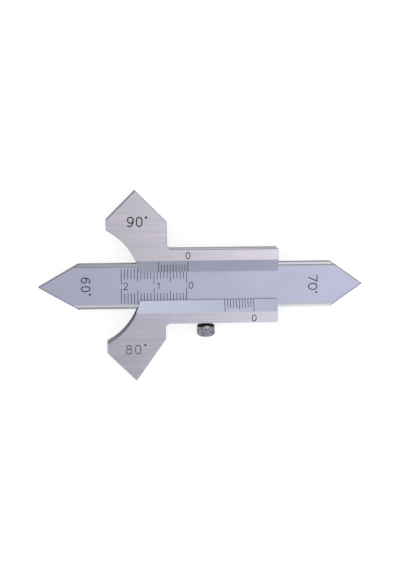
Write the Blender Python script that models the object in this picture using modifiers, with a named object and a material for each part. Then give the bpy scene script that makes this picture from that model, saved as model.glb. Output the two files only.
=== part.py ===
"""Vernier weld gauge, lying on its back with its scale up.

A flat bar with a 60 degree and a 70 degree tip slides between two jaws. Their wings, of 90 and
80 degrees, have 45 degree edges that meet the two plates of a fillet weld. A back plate joins
the jaws behind the bar, and a knurled screw presses a bronze gib on the bar to lock it.
Metres: +X along the bar towards its 70 degree tip, +Y towards the 90 degree wing, +Z up out of
the scale. Z is 0 at the back, and X and Y are 0 at the middle of the bar.
"""

import math

import bmesh
import bpy
from mathutils import Matrix, Vector

# Bar
BAR_LENGTH = 0.1000
BAR_WIDTH = 0.0140
BAR_THICKNESS = 0.0027
LEFT_TIP_ANGLE = math.radians(60)
RIGHT_TIP_ANGLE = math.radians(70)
LAND_WIDTH = 0.0007
FACE_SLOPE_RUN = 0.0005
FACE_DEPTH = 0.0002

# Scale lines, all cut to one width and depth
LINE_WIDTH = 0.0002
LINE_DEPTH = 0.00008
SCALE_ZERO_FROM_TIP = 0.0452
MAIN_DIVISION = 0.0010
MAIN_DIVISIONS = 20
MAIN_OUTER_END = 0.0054
MAIN_INNER_END = 0.0022
MAIN_INNER_END_FIFTH = 0.0014
MAIN_INNER_END_TENTH = 0.00063
VERNIER_DIVISION = 0.0009
VERNIER_DIVISIONS = 10
VERNIER_LINE = 0.0024
VERNIER_LINE_FIFTH = 0.0028
VERNIER_LINE_END = 0.0034

# Wings, measured from the corner where their 45 degree edges would meet
WING_FLAT_X = 0.0204
WING_FLAT_LENGTH = 0.0029
WING_EDGE_RUN = 0.0089
UPPER_SHOULDER_RUN = 0.00955
LOWER_SHOULDER_RUN = 0.0091
WING_FILLET = 0.0015
WING_POINT_FLAT = 0.0001
UPPER_WING_ANGLE = math.radians(90)
LOWER_WING_ANGLE = math.radians(80)
THROAT_X = 0.0310

# Rails and the bevelled lips that carry the verniers
SLIDER_END_X = 0.0730
RAIL_WIDTH = 0.00442
UPPER_RAIL_CORNER = 0.0004
LOWER_RAIL_CORNER = 0.0
LIP_REACH = 0.00255
LIP_EDGE = 0.00035
BEVEL_OVERHANG = 0.0010
BEVEL_RISE = 0.0017

# Back plate with its screws and dowels
PLATE_THICKNESS = 0.0012
PLATE_SETBACK = 0.0030
PLATE_EDGE_BREAK = 0.0002
SCREW_HEAD_DIAMETER = 0.0032
SCREW_DIAMETER = 0.0017
SCREW_LENGTH = 0.0042
SCREW_RIM = 0.0001
SCREW_END_INSET = 0.0042
SLOT_WIDTH = 0.0004
SLOT_DEPTH = 0.0005
DOWEL_DIAMETER = 0.0015
DOWEL_LENGTH = 0.0038
DOWEL_STEP = 0.0040
DOWEL_CHAMFER = 0.00015
FASTENER_INSET = 0.0021

# Gib and lock screw
GIB_LENGTH = 0.0154
GIB_THICKNESS = 0.0010
GIB_END_BREAK = 0.0002
LOCK_X = 0.0509
THREAD_DIAMETER = 0.0025
THREAD_PITCH = 0.00045
LOOSENING_TURNS = 0.75
POINT_FLAT = 0.0003
DIMPLE_DEPTH = 0.0004
HEAD_DIAMETER = 0.0057
HEAD_LENGTH = 0.0038
HEAD_CHAMFER = 0.0007
KNURL_COLUMNS = 54
KNURL_ROWS = 4
KNURL_DEPTH = 0.00018

# Clearances
RUNNING_GAP = 0.00008
SEAT_GAP = 0.0001
BORE_GAP = 0.00005
CONTACT_GAP = 0.00005
HEAD_GAP = 0.0006
HOLE_END_GAP = 0.0003
FLUSH_GAP = 0.00005

# How far the upper vernier reads at rest: the bar's tip stands this far past the corner
REST_READING = -0.0003

# The breaks along the edges of the jaws' and the bar's flat faces
JAW_EDGE_BREAK = 0.00017
BAR_EDGE_BREAK = 0.0001

ROUND_STEPS = 32
OVERCUT = 0.0010
WELD = 1e-7
FLAT_ANGLE = math.radians(0.5)

# Heights, from the back up
BAR_BOTTOM = PLATE_THICKNESS + RUNNING_GAP
BAR_TOP = BAR_BOTTOM + BAR_THICKNESS
SCALE_FACE = BAR_TOP - FACE_DEPTH
LIP_BOTTOM = BAR_TOP + RUNNING_GAP
LIP_TOP = LIP_BOTTOM + LIP_EDGE
FRONT = LIP_TOP + BEVEL_RISE
REBATE = PLATE_THICKNESS + SEAT_GAP
LOCK_Z = FRONT / 2

# Widths, from the bar's middle line out
CHANNEL_SIDE = BAR_WIDTH / 2 + RUNNING_GAP
RAIL_SIDE = CHANNEL_SIDE + RAIL_WIDTH
LIP_SIDE = BAR_WIDTH / 2 - LIP_REACH
BEVEL_SIDE = CHANNEL_SIDE + BEVEL_OVERHANG
FASTENER_ROW = RAIL_SIDE - FASTENER_INSET

# The wings' arc: a circle centred on the bar's middle line
ARC_START_Y = WING_FLAT_X - WING_FLAT_LENGTH
ARC_CENTRE_X = (THROAT_X**2 - WING_FLAT_X**2 - ARC_START_Y**2) / (2 * (THROAT_X - WING_FLAT_X))
ARC_RADIUS = THROAT_X - ARC_CENTRE_X

# Lengths along the bar
CORNER_X = -BAR_LENGTH / 2 - REST_READING
PLATE_LEFT_X = THROAT_X + PLATE_SETBACK
UPPER_ZERO_X = SCALE_ZERO_FROM_TIP
LOWER_ZERO_X = SCALE_ZERO_FROM_TIP + WING_FLAT_X

# Gib and screw, from the bar's edge out
GIB_INNER = BAR_WIDTH / 2 + CONTACT_GAP
GIB_OUTER = GIB_INNER + GIB_THICKNESS
GIB_TRAVEL = THREAD_PITCH * LOOSENING_TURNS
POCKET_SIDE = GIB_OUTER + GIB_TRAVEL + SEAT_GAP
SCREW_HOLE_RADIUS = THREAD_DIAMETER / 2 + BORE_GAP
POCKET_TOP = LOCK_Z + SCREW_HOLE_RADIUS + SEAT_GAP


def clear_scene():
    for obj in list(bpy.data.objects):
        bpy.data.objects.remove(obj, do_unlink=True)


def new_collection(name):
    collection = bpy.data.collections.new(name)
    bpy.context.scene.collection.children.link(collection)
    return collection


def make_material(name, colour, roughness, metallic=1.0):
    material = bpy.data.materials.new(name)
    material.use_nodes = True
    shader = material.node_tree.nodes["Principled BSDF"]
    shader.inputs["Base Color"].default_value = (*colour, 1.0)
    shader.inputs["Roughness"].default_value = roughness
    shader.inputs["Metallic"].default_value = metallic
    return material


def mesh_object(name, mesh, collection, material=None):
    obj = bpy.data.objects.new(name, mesh)
    collection.objects.link(obj)
    if material:
        mesh.materials.clear()
        mesh.materials.append(material)
    return obj


def as_mesh(obj, name):
    """The object's evaluated shape as a plain mesh, with its caps welded; the object goes."""
    graph = bpy.context.evaluated_depsgraph_get()
    mesh = bpy.data.meshes.new_from_object(obj.evaluated_get(graph))
    mesh.transform(obj.matrix_world)
    mesh.name = name
    bpy.data.objects.remove(obj, do_unlink=True)
    solid = bmesh.new()
    solid.from_mesh(mesh)
    bmesh.ops.remove_doubles(solid, verts=solid.verts, dist=WELD)
    bmesh.ops.recalc_face_normals(solid, faces=solid.faces)
    solid.to_mesh(mesh)
    solid.free()
    return mesh


def extruded(name, outline, bottom, top):
    """A flat outline in X and Y as a mesh from bottom to top."""
    curve = bpy.data.curves.new(name, "CURVE")
    curve.dimensions = "2D"
    curve.fill_mode = "BOTH"
    curve.extrude = (top - bottom) / 2
    spline = curve.splines.new("POLY")
    spline.points.add(len(outline) - 1)
    for point, (x, y) in zip(spline.points, outline):
        point.co = (x, y, 0, 1)
    spline.use_cyclic_u = True
    obj = bpy.data.objects.new(name, curve)
    obj.location.z = (top + bottom) / 2
    bpy.context.scene.collection.objects.link(obj)
    bpy.context.view_layer.update()
    return whole_caps(as_mesh(obj, name))


def whole_caps(mesh):
    """Joins the triangles that fill each flat end into one face, so that its rim bevels evenly."""
    solid = bmesh.new()
    solid.from_mesh(mesh)
    bmesh.ops.dissolve_limit(
        solid,
        angle_limit=FLAT_ANGLE,
        verts=solid.verts,
        edges=solid.edges,
    )
    solid.to_mesh(mesh)
    solid.free()
    return mesh


def turned(name, profile, steps=ROUND_STEPS):
    """A profile of (radius, height) points, top to bottom, turned round Z."""
    mesh = bpy.data.meshes.new(name)
    points = [(radius, 0, height) for radius, height in profile]
    mesh.from_pydata(points, [(i, i + 1) for i in range(len(points) - 1)], [])
    obj = bpy.data.objects.new(name, mesh)
    bpy.context.scene.collection.objects.link(obj)
    screw = obj.modifiers.new("Turn", "SCREW")
    screw.steps = steps
    screw.render_steps = steps
    screw.use_merge_vertices = True
    screw.merge_threshold = WELD
    bpy.context.view_layer.update()
    return as_mesh(obj, name)


def box(name, low, high):
    low = Vector(low)
    high = Vector(high)
    mesh = bpy.data.meshes.new(name)
    solid = bmesh.new()
    bmesh.ops.create_cube(solid, size=1)
    bmesh.ops.scale(solid, vec=high - low, verts=solid.verts)
    bmesh.ops.translate(solid, vec=(low + high) / 2, verts=solid.verts)
    solid.to_mesh(mesh)
    solid.free()
    return mesh


def joined(name, meshes):
    solid = bmesh.new()
    for mesh in meshes:
        solid.from_mesh(mesh)
        bpy.data.meshes.remove(mesh)
    whole = bpy.data.meshes.new(name)
    solid.to_mesh(whole)
    solid.free()
    return whole


def placed(mesh, matrix):
    mesh.transform(matrix)
    return mesh


def cut(obj, cutter_mesh):
    """Takes the cutter's shape, given in the object's own frame, out of the object."""
    cutter = mesh_object(f"{obj.name}_{cutter_mesh.name}_cutter", cutter_mesh, CUTTERS)
    cutter.parent = obj
    cutter.hide_render = True
    cutter.display_type = "WIRE"
    boolean = obj.modifiers.new(cutter_mesh.name, "BOOLEAN")
    boolean.operation = "DIFFERENCE"
    boolean.object = cutter


def soften(obj, width, heights):
    """Bevels the edges that lie flat at the given heights. It comes before the object's cuts."""
    mesh = obj.data
    weights = mesh.attributes.new("bevel_weight_edge", "FLOAT", "EDGE")
    for edge in mesh.edges:
        ends = [mesh.vertices[index].co.z for index in edge.vertices]
        flat = any(max(abs(end - height) for end in ends) < WELD for height in heights)
        weights.data[edge.index].value = float(flat)
    bevel = obj.modifiers.new("Edges", "BEVEL")
    bevel.width = width
    bevel.segments = 1
    bevel.limit_method = "WEIGHT"
    bevel.use_clamp_overlap = True


def shade_round(obj, angle=math.radians(35)):
    obj.data.shade_smooth()
    obj.data.set_sharp_from_angle(angle=angle)


def arc(centre, radius, start, end, steps):
    """Points on a circle from one angle to another, both ends included."""
    angles = [start + (end - start) * i / steps for i in range(steps + 1)]
    return [(centre[0] + radius * math.cos(a), centre[1] + radius * math.sin(a)) for a in angles]


def bar_outline():
    half = BAR_WIDTH / 2
    left = -BAR_LENGTH / 2
    right = BAR_LENGTH / 2
    left_shoulder = left + half / math.tan(LEFT_TIP_ANGLE / 2)
    right_shoulder = right - half / math.tan(RIGHT_TIP_ANGLE / 2)
    return [
        (left, 0),
        (left_shoulder, -half),
        (right_shoulder, -half),
        (right, 0),
        (right_shoulder, half),
        (left_shoulder, half),
    ]


def scale_face_cutter():
    """The shallow trough between the lands, with sloping sides, run past both tips."""
    top_half = BAR_WIDTH / 2 - LAND_WIDTH
    floor_half = top_half - FACE_SLOPE_RUN
    rise = OVERCUT
    flare = rise * FACE_SLOPE_RUN / FACE_DEPTH
    section = [
        (-floor_half, SCALE_FACE),
        (floor_half, SCALE_FACE),
        (top_half + flare, BAR_TOP + rise),
        (-top_half - flare, BAR_TOP + rise),
    ]
    reach = BAR_LENGTH / 2 + OVERCUT
    return along_x("scale_face", section, -reach, reach)


def along_x(name, section, start, end):
    """A section of (Y, Z) points run along X from start to end."""
    mesh = extruded(name, section, start, end)
    return placed(mesh, Matrix(((0, 0, 1, 0), (1, 0, 0, 0), (0, 1, 0, 0), (0, 0, 0, 1))))


def main_line_end(index):
    if index % 10 == 0:
        return MAIN_INNER_END_TENTH
    if index % 5 == 0:
        return MAIN_INNER_END_FIFTH
    return MAIN_INNER_END


def main_scale_cutters():
    """Two rows of lines from the zero towards the 60 degree tip."""
    zero = -BAR_LENGTH / 2 + SCALE_ZERO_FROM_TIP
    lines = []
    for index in range(MAIN_DIVISIONS + 1):
        x = zero - index * MAIN_DIVISION
        inner = main_line_end(index)
        for near, far in ((inner, MAIN_OUTER_END), (-MAIN_OUTER_END, -inner)):
            low = (x - LINE_WIDTH / 2, near, SCALE_FACE - LINE_DEPTH)
            high = (x + LINE_WIDTH / 2, far, SCALE_FACE + LINE_DEPTH)
            lines.append(box("line", low, high))
    return joined("main_scale", lines)


def make_scale_bar(material):
    mesh = extruded("scale_bar", bar_outline(), BAR_BOTTOM, BAR_TOP)
    bar = mesh_object("scale_bar", mesh, PARTS, material)
    soften(bar, BAR_EDGE_BREAK, (BAR_BOTTOM, BAR_TOP))
    cut(bar, scale_face_cutter())
    cut(bar, main_scale_cutters())
    return bar


def rail_end_corner(radius):
    """The corner at the rail's free end, rounded or, at radius 0, square."""
    if not radius:
        return [(SLIDER_END_X, RAIL_SIDE)]
    return arc((SLIDER_END_X - radius, RAIL_SIDE - radius), radius, 0, math.pi / 2, 5)


def wing_outline(wing_angle, shoulder_run, rail_corner):
    """A jaw seen from the front, its bar side at the lip's edge, for a wing on the +Y side."""
    apex = WING_FLAT_X + WING_EDGE_RUN
    fall = math.tan(math.radians(135) - wing_angle)
    right = apex + shoulder_run
    shoulder = apex - shoulder_run * fall
    fillet = min(WING_FILLET, 0.9 * (shoulder - RAIL_SIDE))
    arc_end = math.asin(LIP_SIDE / ARC_RADIUS)
    arc_start = math.atan2(ARC_START_Y, WING_FLAT_X - ARC_CENTRE_X)
    outline = [(SLIDER_END_X, LIP_SIDE)]
    outline += rail_end_corner(rail_corner)
    outline += arc((right + fillet, RAIL_SIDE + fillet), fillet, -math.pi / 2, -math.pi, 8)
    outline += [
        (right, shoulder),
        (apex + WING_POINT_FLAT / fall, apex - WING_POINT_FLAT),
        (apex - WING_POINT_FLAT, apex - WING_POINT_FLAT),
        (WING_FLAT_X, WING_FLAT_X),
    ]
    outline += arc((ARC_CENTRE_X, 0), ARC_RADIUS, arc_start, arc_end, 24)
    return outline


def window_cutter():
    """The room between the lips, on the +Y side: upright at the lip's edge, then the bevel."""
    rise = OVERCUT
    flare = rise * (BEVEL_SIDE - LIP_SIDE) / BEVEL_RISE
    section = [
        (-OVERCUT, LIP_BOTTOM),
        (LIP_SIDE, LIP_BOTTOM),
        (LIP_SIDE, LIP_TOP),
        (BEVEL_SIDE + flare, FRONT + rise),
        (-OVERCUT, FRONT + rise),
    ]
    return along_x("window", section, 0, SLIDER_END_X + OVERCUT)


def channel_cutter():
    low = (0, -OVERCUT, -OVERCUT)
    return box("channel", low, (SLIDER_END_X + OVERCUT, CHANNEL_SIDE, LIP_BOTTOM))


def rebate_cutter():
    low = (PLATE_LEFT_X - SEAT_GAP, -OVERCUT, -OVERCUT)
    return box("rebate", low, (SLIDER_END_X + OVERCUT, RAIL_SIDE + SEAT_GAP, REBATE))


def vernier_line_length(index):
    if index % VERNIER_DIVISIONS == 0:
        return VERNIER_LINE_END
    if index % 5 == 0:
        return VERNIER_LINE_FIFTH
    return VERNIER_LINE


def vernier_cutters(zero):
    """Lines cut square into the bevel, open at the lip's edge, from the zero leftwards."""
    slope = math.atan2(BEVEL_RISE, BEVEL_SIDE - LIP_SIDE)
    tilt = Matrix.Translation((0, LIP_SIDE, LIP_TOP)) @ Matrix.Rotation(slope, 4, "X")
    lines = []
    for index in range(VERNIER_DIVISIONS + 1):
        x = zero - index * VERNIER_DIVISION
        length = vernier_line_length(index) / math.cos(slope)
        low = (x - LINE_WIDTH / 2, -LIP_EDGE, -LINE_DEPTH)
        high = (x + LINE_WIDTH / 2, length, LINE_DEPTH)
        lines.append(placed(box("line", low, high), tilt))
    return joined("vernier", lines)


def fastener_places():
    """(screw X, dowel X) at each end of the back plate."""
    left = PLATE_LEFT_X + SCREW_END_INSET
    right = SLIDER_END_X - SCREW_END_INSET
    return ((left, left + DOWEL_STEP), (right, right - DOWEL_STEP))


def cylinder_cutter(name, radius, x, y, bottom, top):
    mesh = turned(name, [(0, top), (radius, top), (radius, bottom), (0, bottom)])
    return placed(mesh, Matrix.Translation((x, y, 0)))


def jaw_hole_cutters():
    """Blind holes for the back plate's screws and dowels, one row of four."""
    holes = []
    for screw_x, dowel_x in fastener_places():
        bore = SCREW_DIAMETER / 2 + BORE_GAP
        depth = SCREW_LENGTH + HOLE_END_GAP
        holes.append(cylinder_cutter("hole", bore, screw_x, FASTENER_ROW, -OVERCUT, depth))
        bore = DOWEL_DIAMETER / 2 + BORE_GAP
        depth = DOWEL_LENGTH + HOLE_END_GAP
        holes.append(cylinder_cutter("hole", bore, dowel_x, FASTENER_ROW, -OVERCUT, depth))
    return joined("plate_holes", holes)


def gib_pocket_cutter():
    half = GIB_LENGTH / 2 + SEAT_GAP
    low = (LOCK_X - half, CHANNEL_SIDE - OVERCUT, -OVERCUT)
    return box("gib_pocket", low, (LOCK_X + half, POCKET_SIDE, POCKET_TOP))


def lock_hole_cutter():
    """The lock screw's hole, from the gib's pocket out through the rail."""
    start = POCKET_SIDE - SEAT_GAP
    end = RAIL_SIDE + OVERCUT
    profile = [(0, end), (SCREW_HOLE_RADIUS, end), (SCREW_HOLE_RADIUS, start), (0, start)]
    mesh = turned("lock_hole", profile)
    place = Matrix.Translation((LOCK_X, 0, LOCK_Z)) @ Matrix.Rotation(-math.pi / 2, 4, "X")
    return placed(mesh, place)


def make_jaw(name, side, wing_angle, shoulder_run, rail_corner, zero, extra_cutters, material):
    """One half of the slider. It is drawn for the +Y side and turned over for the other."""
    across = Matrix.Diagonal((1, side, 1, 1))
    outline = wing_outline(wing_angle, shoulder_run, rail_corner)
    mesh = extruded(name, outline, 0, FRONT)
    jaw = mesh_object(name, mirrored(mesh, across), PARTS, material)
    jaw.location.x = CORNER_X
    soften(jaw, JAW_EDGE_BREAK, (0, FRONT))
    cutters = [window_cutter(), channel_cutter(), rebate_cutter(), jaw_hole_cutters()]
    cutters += extra_cutters
    cutters.append(vernier_cutters(zero))
    for cutter in cutters:
        cut(jaw, mirrored(cutter, across))
    return jaw


def mirrored(mesh, matrix):
    """The mesh moved by a matrix, with its faces kept pointing out if that turns it over."""
    mesh.transform(matrix)
    if matrix.determinant() < 0:
        mesh.flip_normals()
    return mesh


def make_back_plate(material):
    low = (PLATE_LEFT_X, -RAIL_SIDE, 0)
    high = (SLIDER_END_X, RAIL_SIDE, PLATE_THICKNESS)
    plate = mesh_object("back_plate", box("back_plate", low, high), PARTS, material)
    plate.location.x = CORNER_X
    soften(plate, PLATE_EDGE_BREAK, (0,))
    holes = []
    for screw_x, dowel_x in fastener_places():
        for side in (-1, 1):
            y = side * FASTENER_ROW
            seat = placed(turned("seat", countersink_profile()), Matrix.Translation((screw_x, y, 0)))
            holes.append(seat)
            bore = DOWEL_DIAMETER / 2 + BORE_GAP
            top = PLATE_THICKNESS + OVERCUT
            holes.append(cylinder_cutter("hole", bore, dowel_x, y, -OVERCUT, top))
    cut(plate, joined("plate_holes", holes))
    return plate


def countersink_profile():
    """The plate's screw hole, a clearance outside the screw all the way."""
    bore = SCREW_DIAMETER / 2 + SEAT_GAP
    mouth = SCREW_HEAD_DIAMETER / 2 + SEAT_GAP
    cone_foot = FLUSH_GAP + SCREW_RIM
    top = PLATE_THICKNESS + OVERCUT
    return [
        (0, top),
        (bore, top),
        (bore, cone_foot + mouth - bore),
        (mouth, cone_foot),
        (mouth, -OVERCUT),
        (0, -OVERCUT),
    ]


def plate_screw_mesh(material):
    """Slotted countersunk screw, head down at the plate's back."""
    head = SCREW_HEAD_DIAMETER / 2
    shank = SCREW_DIAMETER / 2
    rim = FLUSH_GAP + SCREW_RIM
    profile = [
        (0, SCREW_LENGTH),
        (shank - SCREW_RIM, SCREW_LENGTH),
        (shank, SCREW_LENGTH - SCREW_RIM),
        (shank, rim + head - shank),
        (head, rim),
        (head, FLUSH_GAP),
        (0, FLUSH_GAP),
    ]
    screw = mesh_object("screw_blank", turned("screw_blank", profile), CUTTERS)
    reach = head + OVERCUT
    slot = box(
        "slot",
        (-reach, -SLOT_WIDTH / 2, -OVERCUT),
        (reach, SLOT_WIDTH / 2, FLUSH_GAP + SLOT_DEPTH),
    )
    cut(screw, slot)
    bpy.context.view_layer.update()
    mesh = as_mesh(screw, "plate_screw")
    mesh.materials.clear()
    mesh.materials.append(material)
    return mesh


def dowel_mesh(material):
    radius = DOWEL_DIAMETER / 2
    inner = radius - DOWEL_CHAMFER
    profile = [
        (0, DOWEL_LENGTH),
        (inner, DOWEL_LENGTH),
        (radius, DOWEL_LENGTH - DOWEL_CHAMFER),
        (radius, FLUSH_GAP + DOWEL_CHAMFER),
        (inner, FLUSH_GAP),
        (0, FLUSH_GAP),
    ]
    mesh = turned("dowel_pin", profile)
    mesh.materials.append(material)
    return mesh


def make_fasteners(screw_material, dowel_material):
    """Four screws, each with its slot as the driver left it, and four dowels."""
    screw = plate_screw_mesh(screw_material)
    dowel = dowel_mesh(dowel_material)
    number = 0
    for screw_x, dowel_x in fastener_places():
        for side in (-1, 1):
            number += 1
            one = mesh_object(f"plate_screw_{number}", screw, PARTS)
            one.location = (CORNER_X + screw_x, side * FASTENER_ROW, 0)
            one.rotation_euler.z = math.radians(47 * number)
            shade_round(one)
            pin = mesh_object(f"dowel_pin_{number}", dowel, PARTS)
            pin.location = (CORNER_X + dowel_x, side * FASTENER_ROW, 0)
            shade_round(pin)


def make_gib(material):
    """Bronze strip with a dimple for the screw's point, its origin on the screw's axis."""
    bottom = BAR_BOTTOM + RUNNING_GAP
    top = BAR_TOP - RUNNING_GAP
    half = GIB_LENGTH / 2
    low = (-half, -GIB_OUTER, bottom - LOCK_Z)
    gib = mesh_object("gib", box("gib", low, (half, -GIB_INNER, top - LOCK_Z)), PARTS, material)
    gib.location = (CORNER_X + LOCK_X, 0, LOCK_Z)
    bevel = gib.modifiers.new("Edges", "BEVEL")
    bevel.width = GIB_END_BREAK
    bevel.segments = 2
    floor = GIB_OUTER - DIMPLE_DEPTH
    top = floor + OVERCUT
    profile = [(0, top), (POINT_FLAT + OVERCUT, top), (POINT_FLAT, floor), (0, floor)]
    dimple = placed(turned("dimple", profile), Matrix.Rotation(math.pi / 2, 4, "X"))
    cut(gib, dimple)
    return gib


def lock_screw_profile():
    """(radius, height) from the head's outer end to the point, height out along the screw."""
    shank = THREAD_DIAMETER / 2
    head = HEAD_DIAMETER / 2
    seat = RAIL_SIDE + HEAD_GAP
    end = seat + HEAD_LENGTH
    tip = GIB_OUTER - DIMPLE_DEPTH + CONTACT_GAP
    first = end - HEAD_CHAMFER
    last = seat + HEAD_CHAMFER
    band = [(head, first + (last - first) * i / KNURL_ROWS) for i in range(KNURL_ROWS + 1)]
    profile = [(0, end), (head - HEAD_CHAMFER, end)]
    profile += band
    profile += [(head - HEAD_CHAMFER, seat), (shank, seat)]
    return profile + [(shank, tip + shank - POINT_FLAT), (POINT_FLAT, tip), (0, tip)]


def press_knurl(mesh):
    """Sinks every other point of the head's band, so that its faces become diamond points."""
    seat = RAIL_SIDE + HEAD_GAP
    last = seat + HEAD_CHAMFER
    row_height = (HEAD_LENGTH - 2 * HEAD_CHAMFER) / KNURL_ROWS
    solid = bmesh.new()
    solid.from_mesh(mesh)
    valleys = set()
    for vertex in solid.verts:
        radius = math.hypot(vertex.co.x, vertex.co.y)
        row = (vertex.co.z - last) / row_height
        if radius < HEAD_DIAMETER / 2 - 1e-6 or not -0.5 < row < KNURL_ROWS + 0.5:
            continue
        column = math.atan2(vertex.co.y, vertex.co.x) / (2 * math.pi / KNURL_COLUMNS)
        if (round(column) + round(row)) % 2:
            valleys.add(vertex)
    for face in [f for f in solid.faces if len(f.verts) == 4]:
        sunk = [vertex for vertex in face.verts if vertex in valleys]
        if len(sunk) == 2:
            bmesh.utils.face_split(face, sunk[0], sunk[1])
    depth = 1 - KNURL_DEPTH / (HEAD_DIAMETER / 2)
    for vertex in valleys:
        vertex.co.x *= depth
        vertex.co.y *= depth
    solid.to_mesh(mesh)
    solid.free()


def make_lock_screw(material):
    """Knurled thumbscrew, its own +Z pointing out of the lower rail along its axis."""
    mesh = turned("lock_screw", lock_screw_profile(), KNURL_COLUMNS)
    press_knurl(mesh)
    screw = mesh_object("lock_screw", mesh, PARTS, material)
    screw.location = (CORNER_X + LOCK_X, 0, LOCK_Z)
    screw.rotation_euler.x = math.pi / 2
    shade_round(screw, math.radians(20))
    return screw


clear_scene()
PARTS = new_collection("weld_gauge")
CUTTERS = new_collection("cutters")

satin_steel = make_material("satin_steel", (0.52, 0.54, 0.62), 0.42)
brushed_steel = make_material("brushed_steel", (0.60, 0.59, 0.60), 0.36)
plate_steel = make_material("plate_steel", (0.56, 0.56, 0.58), 0.40)
screw_steel = make_material("screw_steel", (0.42, 0.42, 0.44), 0.34)
pin_steel = make_material("pin_steel", (0.66, 0.66, 0.68), 0.24)
bronze = make_material("bronze", (0.62, 0.44, 0.22), 0.38)
knurled_steel = make_material("knurled_steel", (0.30, 0.30, 0.32), 0.30)

make_scale_bar(satin_steel)
make_jaw(
    "upper_jaw",
    1,
    UPPER_WING_ANGLE,
    UPPER_SHOULDER_RUN,
    UPPER_RAIL_CORNER,
    UPPER_ZERO_X,
    [],
    brushed_steel,
)
make_jaw(
    "lower_jaw",
    -1,
    LOWER_WING_ANGLE,
    LOWER_SHOULDER_RUN,
    LOWER_RAIL_CORNER,
    LOWER_ZERO_X,
    [gib_pocket_cutter(), lock_hole_cutter()],
    brushed_steel,
)
make_back_plate(plate_steel)
make_fasteners(screw_steel, pin_steel)
make_gib(bronze)
make_lock_screw(knurled_steel)
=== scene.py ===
"""Looks of the vernier weld gauge: its finishes, engraved figures, light, floor and camera.

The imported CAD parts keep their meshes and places. Their finishes are worked out in millimetres of
the frame, and the figures are cut into them with Boolean modifiers and filled with dark paint.
"""

import math

import bmesh
import bpy
from mathutils import Matrix, Vector


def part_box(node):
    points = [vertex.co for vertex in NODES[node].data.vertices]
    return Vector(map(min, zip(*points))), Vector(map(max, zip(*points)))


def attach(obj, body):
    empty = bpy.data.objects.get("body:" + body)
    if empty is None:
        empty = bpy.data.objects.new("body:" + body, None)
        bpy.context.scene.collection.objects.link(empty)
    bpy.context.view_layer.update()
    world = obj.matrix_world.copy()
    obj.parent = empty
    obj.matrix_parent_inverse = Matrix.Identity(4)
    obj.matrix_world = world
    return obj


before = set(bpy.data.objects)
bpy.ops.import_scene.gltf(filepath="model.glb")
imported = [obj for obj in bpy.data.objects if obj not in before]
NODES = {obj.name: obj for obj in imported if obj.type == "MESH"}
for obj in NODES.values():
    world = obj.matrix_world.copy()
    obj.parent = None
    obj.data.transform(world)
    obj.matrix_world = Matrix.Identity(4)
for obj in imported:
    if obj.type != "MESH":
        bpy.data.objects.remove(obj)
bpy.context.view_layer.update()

MM = 0.001


def in_mm(corners):
    """A box's two corners, which the frame gives in metres."""
    return [corner / MM for corner in corners]


# Sizes that the frame gives. All lengths are millimetres, apart from the studio's
BAR_LOW, BAR_HIGH = in_mm(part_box("scale_bar"))
UPPER_LOW, UPPER_HIGH = in_mm(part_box("upper_jaw"))
SCREW_LOW, SCREW_HIGH = in_mm(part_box("lock_screw"))
FRONT = UPPER_HIGH.z
LIP_SIDE = UPPER_LOW.y

# Sizes of the CAD source that no box gives. A side is a distance from the bar's middle line, and a
# wing's flat is its upright end
SCALE_FACE_DEPTH = 0.2
LIP_TOP_DROP = 1.7
BEVEL_SIDE = 8.08
WING_FLAT_X = 20.4
SCALE_ZERO_FROM_TIP = 45.2
SCALE_LENGTH = 20.0
SCALE_SIDE = 5.4
VERNIER_LENGTH = 9.0
LINE_DEPTH = 0.08
TIP_ANGLES = (60, 70)
HEAD_LENGTH = 3.8
HEAD_CHAMFER = 0.7
FASTENERS = 4

# Places that follow. The upper vernier reads zero with the bar's tip at the wings' corner, and the
# lower one with it level with the wings' flats
SCALE_FACE = BAR_HIGH.z - SCALE_FACE_DEPTH
LIP_TOP = FRONT - LIP_TOP_DROP
CORNER_X = UPPER_LOW.x - WING_FLAT_X
SCALE_ZERO = BAR_LOW.x + SCALE_ZERO_FROM_TIP
UPPER_ZERO = CORNER_X + SCALE_ZERO_FROM_TIP
LOWER_ZERO = UPPER_ZERO + WING_FLAT_X
HEAD_RADIUS = (SCREW_HIGH.x - SCREW_LOW.x) / 2
KNURL_OUTER = SCREW_LOW.y + HEAD_CHAMFER
KNURL_INNER = SCREW_LOW.y + HEAD_LENGTH - HEAD_CHAMFER

# Colours, as scene-linear values
WHITE = (1.0, 1.0, 1.0)
BRUSHED_UPPER = (0.77, 0.73, 0.82)
BRUSHED_LOWER = (0.718, 0.702, 0.812)
CLOUD = (0.62, 0.61, 0.74)
# The next colour is on scratches, and is also a painted highlight on the jaws' right slopes and on the
# upper part of walls that face back
BRIGHT = (0.78, 0.77, 0.82)
MILLED = (0.42, 0.40, 0.44)
WALL_TINT = (0.70, 0.66, 0.70)
# The next colour is painted shade on the jaws' walls that face left
WALL_PAINTED_SHADE = (0.34, 0.33, 0.37)
# The next two colours are painted shade in the wings' round cut-outs, darkest near the bar
SHADED = (0.13, 0.13, 0.16)
CUT_OUT_WALL_SHADE = (0.38, 0.38, 0.42)
BEVEL_SATIN = (0.71, 0.745, 0.93)
BAR_SATIN = (0.645, 0.665, 0.845)
GROUND = (0.60, 0.60, 0.66)
TURNED = (0.27, 0.27, 0.31)
# The next colour is painted shade along the bar's slanting tip edges
EDGE_SHADE = (0.27, 0.265, 0.29)
# The next colour is painted shade in the knurl's grooves and on the chamfer behind the knurl
KNURL_SHADE = (0.035, 0.035, 0.045)
KNURL_DULL = (0.46, 0.46, 0.54)
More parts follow.
